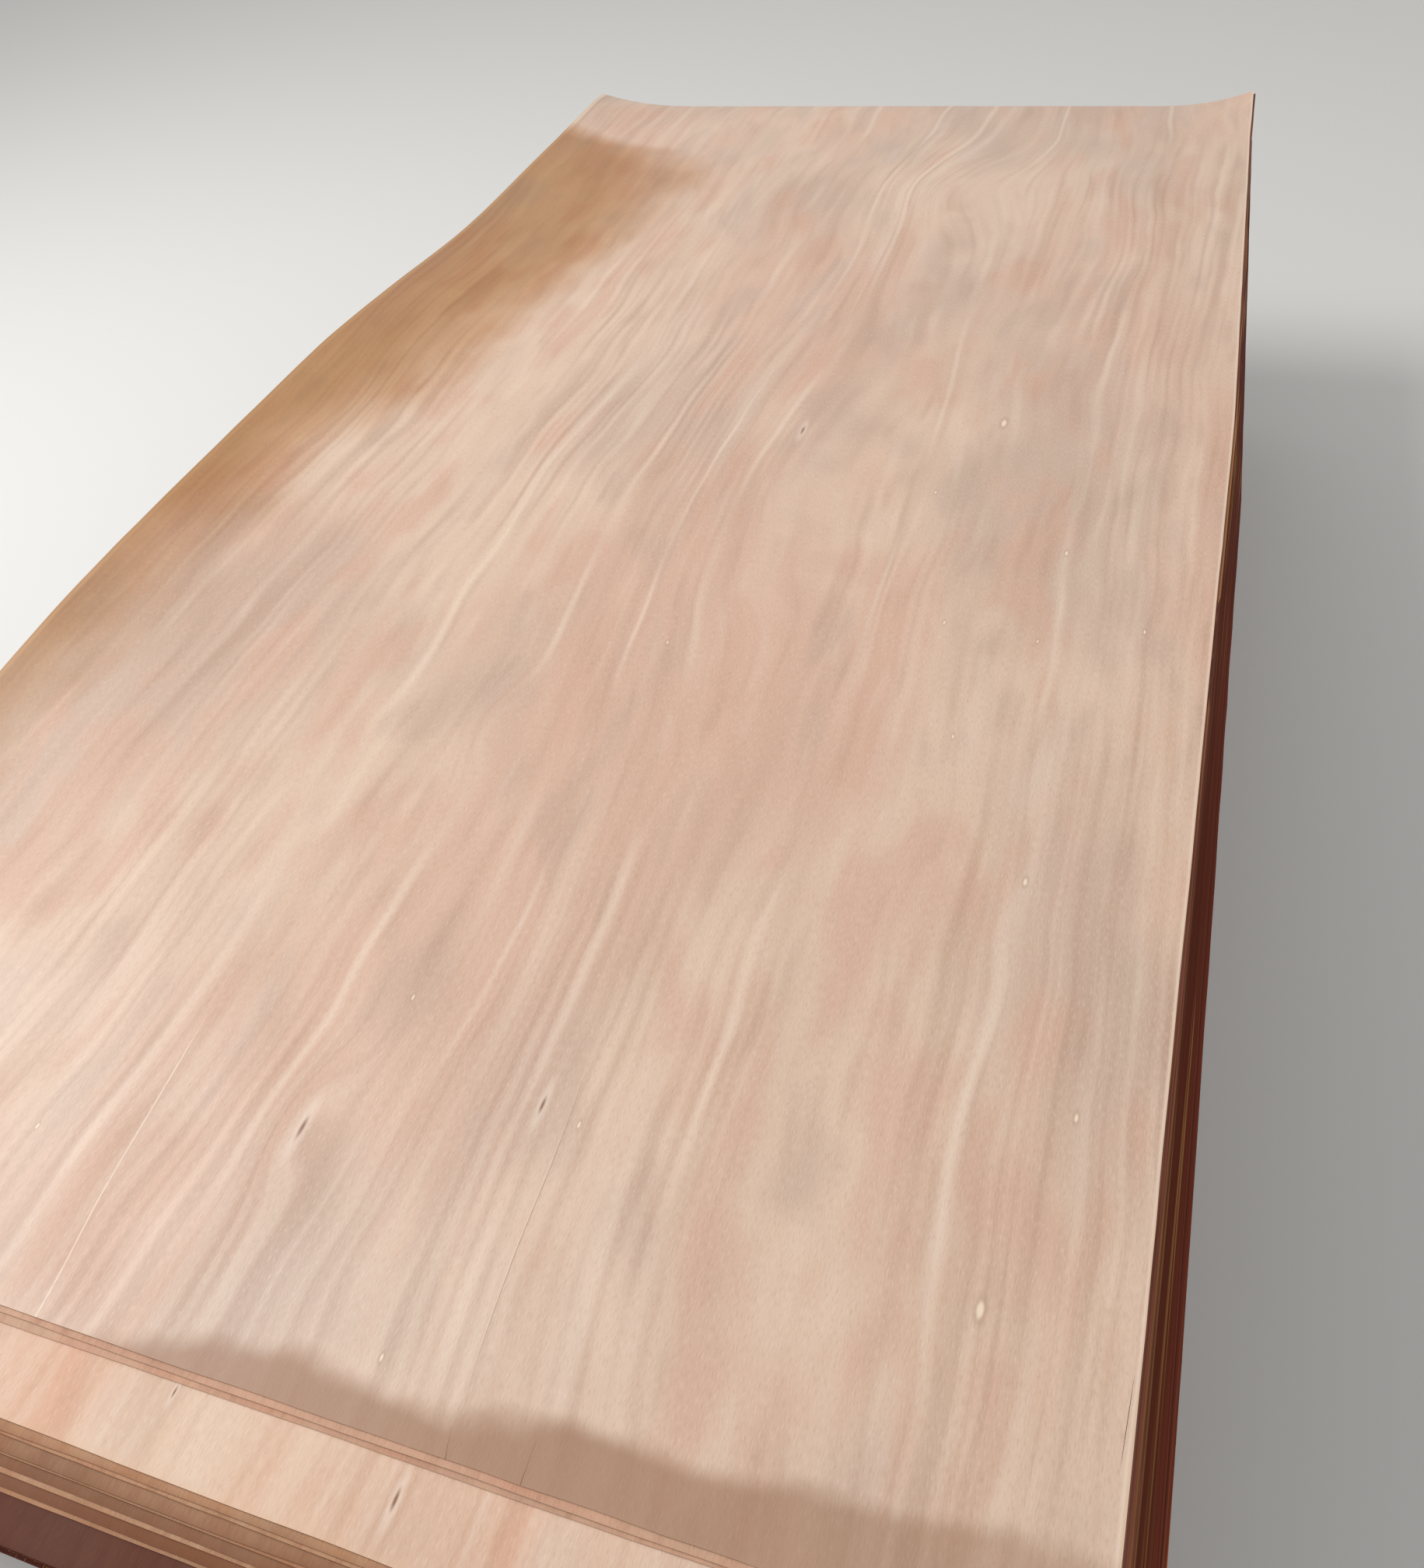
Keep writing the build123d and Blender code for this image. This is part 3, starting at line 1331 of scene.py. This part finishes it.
    def add(self, faces: bpy.types.Material, edges: bpy.types.Material) -> None:
        """Adds the leaf to the scene, dressed in its two finishes."""
        dress(self.build(), self.name.replace("sheet", "leaf"), faces, edges)


@dataclass
class LoosePile:
    """The thirteen loose leaves, each reaching further forward than the one above it."""

    shape: PileShape = field(default_factory=PileShape)

    # From the lowest: the name, how far it reaches past the top leaf to the front and to the
    # right, its turn in degrees, its share of the top leaf's curl, and its tone.
    sizes: tuple[tuple[str, float, float, float, float, float], ...] = (
        ("thirteenth_sheet", 0.127, 0.030, 0.50, 0.0, 0.15),
        ("twelfth_sheet", 0.101, 0.025, 0.43, 0.0, 0.42),
        ("eleventh_sheet", 0.098, 0.023, 0.45, 0.0, 0.08),
        ("tenth_sheet", 0.091, 0.0195, 0.35, 0.0, 0.60),
        ("ninth_sheet", 0.088, 0.018, 0.37, 0.0, 0.18),
        ("eighth_sheet", 0.083, 0.015, 0.28, 0.10, 0.48),
        ("seventh_sheet", 0.0805, 0.014, 0.29, 0.18, 0.25),
        ("sixth_sheet", 0.073, 0.0105, 0.20, 0.28, 0.72),
        ("fifth_sheet", 0.071, 0.0095, 0.22, 0.40, 0.40),
        ("fourth_sheet", 0.065, 0.0075, 0.14, 0.55, 0.75),
        ("third_sheet", 0.009, 0.0069, 0.20, 0.75, 0.55),
        ("second_sheet", 0.005, 0.0035, 0.0, 0.89, 0.80),
        ("top_sheet", 0.0, 0.0, 0.0, 1.0, 0.62),
    )

    # The top leaf's splits: the long closed crack, whose lifted left lip carries a painted
    # highlight, two short ones at the front end, and the splinter at the right edge. The grid has
    # lines along them, and more lines near them.
    splits: tuple[Split, ...] = (
        Split(
            0,
            (
                (0.034, 0.866),
                (0.068, 0.8625),
                (0.144, 0.8585),
                (0.214, 0.857),
                (0.262, 0.8545),
                (0.302, 0.8515),
            ),
            opening=0.02 * MM,
            left_lip=0.3 * MM,
            pale=0.5,
        ),
        Split(0, ((0.0, 0.868), (0.022, 0.863)), opening=0.5 * MM),
        Split(1, ((0.0, 0.924), (0.032, 0.9235)), opening=0.5 * MM),
        Split(2, ((0.118, 1.293), (0.182, 1.296)), opening=0.4 * MM, right_lip=0.5 * MM),
    )
    split_columns: tuple[float, ...] = (0.865, 0.924, 1.2945)
    near_columns: tuple[float, ...] = (0.815, 0.840, 0.856, 0.8635, 0.874, 0.895, 0.910, 0.938)
    split_rows: tuple[float, ...] = (
        *(0.022, 0.032, 0.034, 0.050, 0.068, 0.085, 0.100, 0.118, 0.126, 0.144),
        *(0.165, 0.182, 0.214, 0.235, 0.262, 0.285, 0.302),
    )
    chip: Chip = Chip(0.860, 1.000, 2.5 * MM)
    chip_corner: float = 0.010

    def leaves(self) -> list[LooseLeaf]:
        """Lists the leaves, with what is special about some of them.

        Returns:
            The leaves from the lowest to the top one.
        """
        start, end = self.chip.start, self.chip.end
        chip_rows = (start, start + self.chip_corner, end - self.chip_corner, end)
        special = {
            "fourth_sheet": {"column_step": 0.022, "row_step": 0.022},
            "third_sheet": {"front_slant": 0.004},
            "second_sheet": {"row_step": 0.020, "extra_rows": chip_rows, "chip": self.chip},
            "top_sheet": {
                "column_step": 0.017,
                "row_step": 0.017,
                "extra_columns": self.split_columns + self.near_columns,
                "extra_rows": self.split_rows,
                "splits": self.splits,
                "end_rim": 0.15,
            },
        }
        return [
            LooseLeaf(name, level, *sizes, self.shape, **special.get(name, {}))
            for level, (name, *sizes) in enumerate(self.sizes, 1 - self.shape.flat_count)
        ]


@dataclass
class PressedBundle:
    """Twenty-four leaves pressed together, each a little off the one below it.

    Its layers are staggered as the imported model's are, by shares of the stagger that leave
    room for each leaf's own shift. The factors of the jumps only keep them unlike each other.
    """

    number: int
    outline: Outline = Outline()
    layers: int = 6
    leaves_per_layer: int = 4
    height: float = 0.028
    side_stagger: float = 0.006
    end_stagger: float = 0.014
    turn_stagger: float = 0.1
    turn: float = 0.3
    side_share: float = 0.78
    end_share: float = 0.80
    turn_share: float = 0.9
    own_side_shift: float = 1.3 * MM
    own_end_shift: float = 2.6 * MM
    side_cuts: int = 8
    end_cuts: int = 6

    # The air between the leaves: its waves to a metre, its least share, and how much of it
    # goes between two layers and between two leaves of a layer.
    air_waves: tuple[float, float] = (2.1, 1.3)
    air_seed: float = 1.37
    least_air: float = 0.35
    layer_air: float = 1.6
    leaf_air: float = 0.55
    looseness: float = 0.55
    loose_swing: float = 0.45

    # How the edges are frayed, and how the leaves differ in tone and figure.
    fray_depth: float = 1.2 * MM
    fray_waves: float = 5.0
    fray_seed: float = 0.71
    tone_turn: float = 1.7
    tone_cycle: int = 5
    figure_step: float = 2.3
    rim_shown: float = 0.8
    own_step: int = 31

    def own(self, leaf: int) -> int:
        """Gives a number that no other leaf of the stack has."""
        return self.number * self.own_step + leaf

    def placement(self, leaf: int) -> tuple[Vector, float]:
        """Tells where a leaf of the bundle lies.

        Args:
            leaf: Its number in the bundle, from 0 at the bottom.

        Returns:
            The place of its middle, and its turn in degrees.
        """
        index = self.number * self.layers + leaf // self.leaves_per_layer
        own = self.own(leaf)
        x = jump(index, self.side_stagger * self.side_share)
        x += jump(own * 5 + 1, self.own_side_shift)
        y = jump(index * 2 + 3, self.end_stagger * self.end_share)
        y += jump(own * 3 + 2, self.own_end_shift)
        return Vector((x, y)), self.turn + jump(index + 7, self.turn_stagger * self.turn_share)

    def air(self, x: float, y: float) -> list[float]:
        """Shares out the bundle's air between its leaves, at one place.

        Args:
            x: The place in the model's frame.
            y: The place in the model's frame.

        Returns:
            The air below each leaf, added up from the bundle's bottom.
        """
        count = self.layers * self.leaves_per_layer
        free = self.height - count * self.outline.thickness
        across, along = x * self.air_waves[0], y * self.air_waves[1]
        gaps = [0.0]
        for leaf in range(1, count):
            own = self.own(leaf)
            wave = noise.noise(Vector((across, along, own * self.air_seed)))
            sprung = self.layer_air if leaf % self.leaves_per_layer == 0 else self.leaf_air
            looseness = self.looseness + self.loose_swing * math.sin(own * GOLDEN_TURN)
            gaps.append(sprung * looseness * max(self.least_air + wave, 0.0))
        scale = free / sum(gaps)
        below, total = [], 0.0
        for gap in gaps:
            total += gap * scale
            below.append(total)
        return below

    def flat_leaf(self, mesh: bmesh.types.BMesh) -> bmesh.types.BMFace:
        """Adds one leaf's outline about its middle, subdivided and filled.

        Args:
            mesh: The bundle's mesh.

        Returns:
            The leaf's face.
        """
        outline = self.outline
        half_width, half_length = outline.width / 2, outline.length / 2
        bend = outline.taper_start - half_length
        narrow = half_width - outline.taper_in
        corners = [
            mesh.verts.new((x, y, 0))
            for x, y in (
                (-half_width, -half_length),
                (half_width, -half_length),
                (half_width, bend),
                (narrow, half_length),
                (-narrow, half_length),
                (-half_width, bend),
            )
        ]
        edges = [mesh.edges.new(pair) for pair in zip(corners, corners[1:] + corners[:1])]
        ends, sides = (edges[0], edges[3]), (edges[1], edges[2], edges[4], edges[5])
        loop = set(edges)
        for some, cuts in ((ends, self.end_cuts), (sides, self.side_cuts)):
            cut = bmesh.ops.subdivide_edges(mesh, edges=list(some), cuts=cuts)
            loop |= {part for part in cut["geom"] if isinstance(part, bmesh.types.BMEdge)}
        return bmesh.ops.contextual_create(mesh, geom=list(loop))["faces"][0]

    def add_leaf(self, mesh: bmesh.types.BMesh, leaf: int) -> None:
        """Adds one leaf where it lies, with its frayed edges, its tone and its thickness.

        Args:
            mesh: The bundle's mesh.
            leaf: The leaf's number in the bundle.
        """
        layers = mesh.verts.layers.float
        tone, sheet, rim = layers["tone"], layers["sheet"], layers["rim"]
        face = self.flat_leaf(mesh)
        middle, turn = self.placement(leaf)
        turned = Matrix.Rotation(math.radians(turn), 2)
        own = self.own(leaf)
        base = self.number * self.height + leaf * self.outline.thickness
        leaf_tone = 0.5 + 0.5 * math.sin(own * GOLDEN_TURN * self.tone_turn + own % self.tone_cycle)
        for vertex in face.verts:
            flat = Vector(vertex.co.xy)
            fray = noise.noise(Vector((*(flat * self.fray_waves), own * self.fray_seed)))
            flat -= flat.normalized() * self.fray_depth * abs(fray)
            place = middle + turned @ flat
            vertex.co = (place.x, place.y, base + self.air(place.x, place.y)[leaf])
            vertex[tone] = leaf_tone
            vertex[sheet] = own * self.figure_step
            vertex[rim] = self.rim_shown
        thicken(mesh, [face], self.outline.thickness)

    def build(self) -> bpy.types.Object:
        """Makes the bundle, one leaf on the other.

        Returns:
            The piece.
        """
        mesh = bmesh.new()
        for name in ("tone", "sheet", "rim"):
            mesh.verts.layers.float.new(name)
        for leaf in range(self.layers * self.leaves_per_layer):
            self.add_leaf(mesh, leaf)
        bmesh.ops.recalc_face_normals(mesh, faces=mesh.faces)
        assign_finishes(mesh)
        return to_object(mesh, f"pressed_bundle_{self.number + 1:02d}")

    def add(self, faces: bpy.types.Material, edges: bpy.types.Material) -> None:
        """Adds the bundle to the scene, dressed in its two finishes."""
        dress(self.build(), f"bundle_{self.number + 1:02d}", faces, edges)


@dataclass(frozen=True)
class SoftLamp:
    """One soft square lamp: where it hangs, what it points at, its side and its watts."""

    name: str
    place: tuple[float, float, float]
    target: tuple[float, float, float]
    size: float
    power: float

    def hang(self) -> None:
        """Adds the lamp to the scene."""
        data = bpy.data.lights.new(self.name, "AREA")
        data.size = self.size
        data.energy = self.power
        lamp = bpy.data.objects.new(self.name, data)
        lamp.location = self.place
        lamp.rotation_mode = "QUATERNION"
        towards = Vector(self.target) - Vector(self.place)
        lamp.rotation_quaternion = towards.to_track_quat("-Z", "Y")
        bpy.context.scene.collection.objects.link(lamp)


@dataclass(frozen=True)
class Studio:
    """The plain pale floor, the soft light, and the camera at the photograph's place."""

    camera_place: tuple[float, float, float] = (0.55908, -1.27522, 1.48724)
    camera_right: tuple[float, float, float] = (0.94416433, 0.3107015, -0.10962796)
    camera_down: tuple[float, float, float] = (0.15452039, -0.71144575, -0.68554241)
    camera_ahead: tuple[float, float, float] = (-0.2909934, 0.63032494, -0.71973142)
    lens: float = 29.26
    sensor: float = 36.0
    sight: float = 200.0
    floor_half: float = 60.0
    floor_drop: float = 0.2 * MM
    soft_light: str = "#ffffff"
    soft_strength: float = 0.50
    wall: str = "#e9e8e5"
    lamps: tuple[SoftLamp, ...] = (
        SoftLamp("left_window", (-3.4, -0.6, 4.4), (0.0, -0.3, 0.5), 2.6, 215.0),
        SoftLamp("right_fill", (3.4, 0.6, 2.6), (0.0, 0.2, 0.4), 2.4, 15.0),
    )

    def add_camera(self) -> None:
        """Puts the camera where the photograph was taken from, held slightly turned."""
        data = bpy.data.cameras.new("photo_camera")
        data.sensor_width = self.sensor
        data.lens = self.lens
        data.clip_end = self.sight
        camera = bpy.data.objects.new("photo_camera", data)
        axes = (Vector(self.camera_right), -Vector(self.camera_down), -Vector(self.camera_ahead))
        turned = Matrix(axes).transposed().to_4x4()
        camera.matrix_world = Matrix.Translation(self.camera_place) @ turned
        bpy.context.scene.collection.objects.link(camera)
        bpy.context.scene.camera = camera

    def add_floor(self) -> None:
        """Lays the pale floor, just under the stack."""
        mesh = bmesh.new()
        bmesh.ops.create_grid(mesh, x_segments=1, y_segments=1, size=self.floor_half)
        bmesh.ops.translate(mesh, verts=mesh.verts, vec=(0, 0, -self.floor_drop))
        floor = to_object(mesh, "studio_floor")
        floor.data.materials.append(MattPaint().material())

    def add_world(self) -> None:
        """Lights the room evenly, and shows a pale wall where the floor ends."""
        world = bpy.data.worlds.new("pale_room")
        bpy.context.scene.world = world
        world.use_nodes = True
        tree = world.node_tree
        tree.nodes.clear()
        ray = add_node(tree, "LightPath")
        seen = add_node(
            tree,
            "Math",
            {0: ray.outputs["Is Camera Ray"], 1: ray.outputs["Is Glossy Ray"]},
            operation="MAXIMUM",
        )
        soft = add_node(
            tree, "Background", {"Color": srgb(self.soft_light), "Strength": self.soft_strength}
        )
        wall = add_node(tree, "Background", {"Color": srgb(self.wall), "Strength": 1.0})
        mixed = add_node(tree, "MixShader", {0: seen, 1: soft, 2: wall})
        add_node(tree, "OutputWorld", {"Surface": mixed})

    def build(self) -> None:
        """Sets up the whole studio."""
        self.add_camera()
        self.add_floor()
        self.add_world()
        for lamp in self.lamps:
            lamp.hang()
        bpy.context.scene.view_settings.view_transform = "Standard"


# The top sheet: pale pinkish tan with long pale lines, pin knots, an ochre stain along its left
# edge that is partly painted shade, and painted shade at its front end.
TOP_FACE = PeeledFace(
    name="peeled_veneer_face_top",
    ground="#d5b8a2",
    rose="#cca48e",
    grey="#bca18f",
    pale_streak="#e8d3bf",
    dark_streak="#a5816a",
    # The pale rim is a painted highlight along the edges and on the split's lifted lip.
    rim="#ead6c3",
    side_shade="#d6b69c",
    side_line="#dfc3ab",
    halo="#f0dfcf",
    swirls=(
        Swirl(0.820, 2.030, 0.120, 0.160, 0.085),
        Swirl(0.800, 1.760, 0.060, 0.230, 0.045),
        Swirl(0.760, 1.120, 0.110, 0.420, 0.075),
        Swirl(0.640, 0.190, 0.026, 0.060, 0.036),
        Swirl(0.595, 0.660, 0.030, 0.060, 0.030),
    ),
    pin_knots=(
        Spot(1.023, 1.320, 0.0034),
        Spot(0.968, 1.154, 0.0014),
        Spot(1.136, 1.058, 0.0018),
        Spot(1.026, 0.912, 0.0014),
        Spot(1.127, 0.901, 0.0012),
        Spot(1.232, 0.937, 0.0014),
        Spot(0.736, 0.825, 0.0013),
        Spot(1.068, 0.742, 0.0012),
        Spot(1.164, 0.576, 0.0018),
        Spot(0.674, 0.329, 0.0013),
        Spot(1.236, 0.356, 0.0016),
        Spot(0.865, 0.252, 0.0013),
        Spot(0.418, 0.133, 0.0012),
        Spot(1.192, 0.194, 0.0028),
        Spot(0.794, 0.048, 0.0012),
    ),
    specks=(Spot(0.769, 1.268, 0.0021), Spot(0.642, 0.192, 0.0023), Spot(0.829, 0.261, 0.0018)),
    pale_lines=(
        (0.560, 0.0080),
        (0.690, 0.0100),
        (0.815, 0.0070),
        (0.902, 0.0095),
        (1.040, 0.0060),
        (1.235, 0.0070),
    ),
    scratches=((0.5190, -0.075, 0.27),),
    # The ochre stain, partly painted shade, and the painted shade at the front end.
    stained_and_shaded=True,
)

# The loose sheets below it show a narrow strip each, golden brown and dull.
LOOSE_FACE = PeeledFace(
    name="peeled_veneer_face_loose",
    ground="#c99d7a",
    rose="#c38d69",
    grey="#b28b6e",
    pale_streak="#dcbb9b",
    dark_streak="#8d5f43",
    # The darker rim is partly dried wood and partly painted shade.
    rim="#88573b",
    shine=0.08,
)

# The second and third sheets show a few millimetres, dried to a pinkish tan.
STRIP_FACE = replace(
    LOOSE_FACE,
    name="peeled_veneer_face_second",
    ground="#cba58c",
    rose="#c49279",
    grey="#b89780",
    rim="#c3967d",
)

# The fourth sheet shows a wide strip at the front, nearly as pale as the top sheet.
FOURTH_FACE = replace(
    LOOSE_FACE,
    name="peeled_veneer_face_fourth",
    ground="#dfc1aa",
    rose="#d9a78c",
    grey="#cdb09b",
    pale_streak="#eddac9",
    dark_streak="#bb9277",
    rim="#d9b698",
    specks=(Spot(0.845, -0.030, 0.0017), Spot(0.655, -0.014, 0.0010)),
)

# The pressed sheets have turned reddish brown where they stick out, and so has the lowest loose
# one; both are darkened further by painted shade.
BUNDLE_FACE = replace(
    LOOSE_FACE,
    name="peeled_veneer_face_pressed",
    ground="#84503a",
    rose="#7a4431",
    grey="#75503f",
    pale_streak="#a17054",
    dark_streak="#532c20",
    rim="#532b1f",
    aged="#4c2217",
)

# The edges are paler the higher the sheet lies: the top ones carry a painted highlight, and the
# lower ones painted shade over the darker cut wood.
BUNDLE_EDGE = CutEdge()
TOP_EDGE = CutEdge(
    name="clipped_veneer_edge_top", deep="#c49c82", middle="#dfbca1", light="#f0dbc6"
)
LOOSE_EDGE = CutEdge(
    name="clipped_veneer_edge_loose", deep="#6b3a26", middle="#a27352", light="#cda783"
)


def main() -> None:
    """Builds the stack and the studio."""
    logging.basicConfig(level=logging.INFO, format="%(name)s: %(message)s")
    Studio().build()
    pile = LoosePile()
    origin = pile.shape.front_left()
    bundle_edge = BUNDLE_EDGE.material()
    loose_edge = LOOSE_EDGE.material()
    top_edge = TOP_EDGE.material()
    loose_face = LOOSE_FACE.material(origin)
    bundle_face = BUNDLE_FACE.material(origin)
    strip_face = STRIP_FACE.material(origin)
    faces = {
        "top_sheet": TOP_FACE.material(origin),
        "fourth_sheet": FOURTH_FACE.material(origin),
        "third_sheet": strip_face,
        "second_sheet": strip_face,
        "thirteenth_sheet": bundle_face,
    }
    edges = {"top_sheet": top_edge, "second_sheet": top_edge, "third_sheet": top_edge}
    for leaf in pile.leaves():
        leaf.add(faces.get(leaf.name, loose_face), edges.get(leaf.name, loose_edge))
    for number in range(BUNDLE_COUNT):
        PressedBundle(number).add(bundle_face, bundle_edge)


if __name__ == "__main__":
    main()
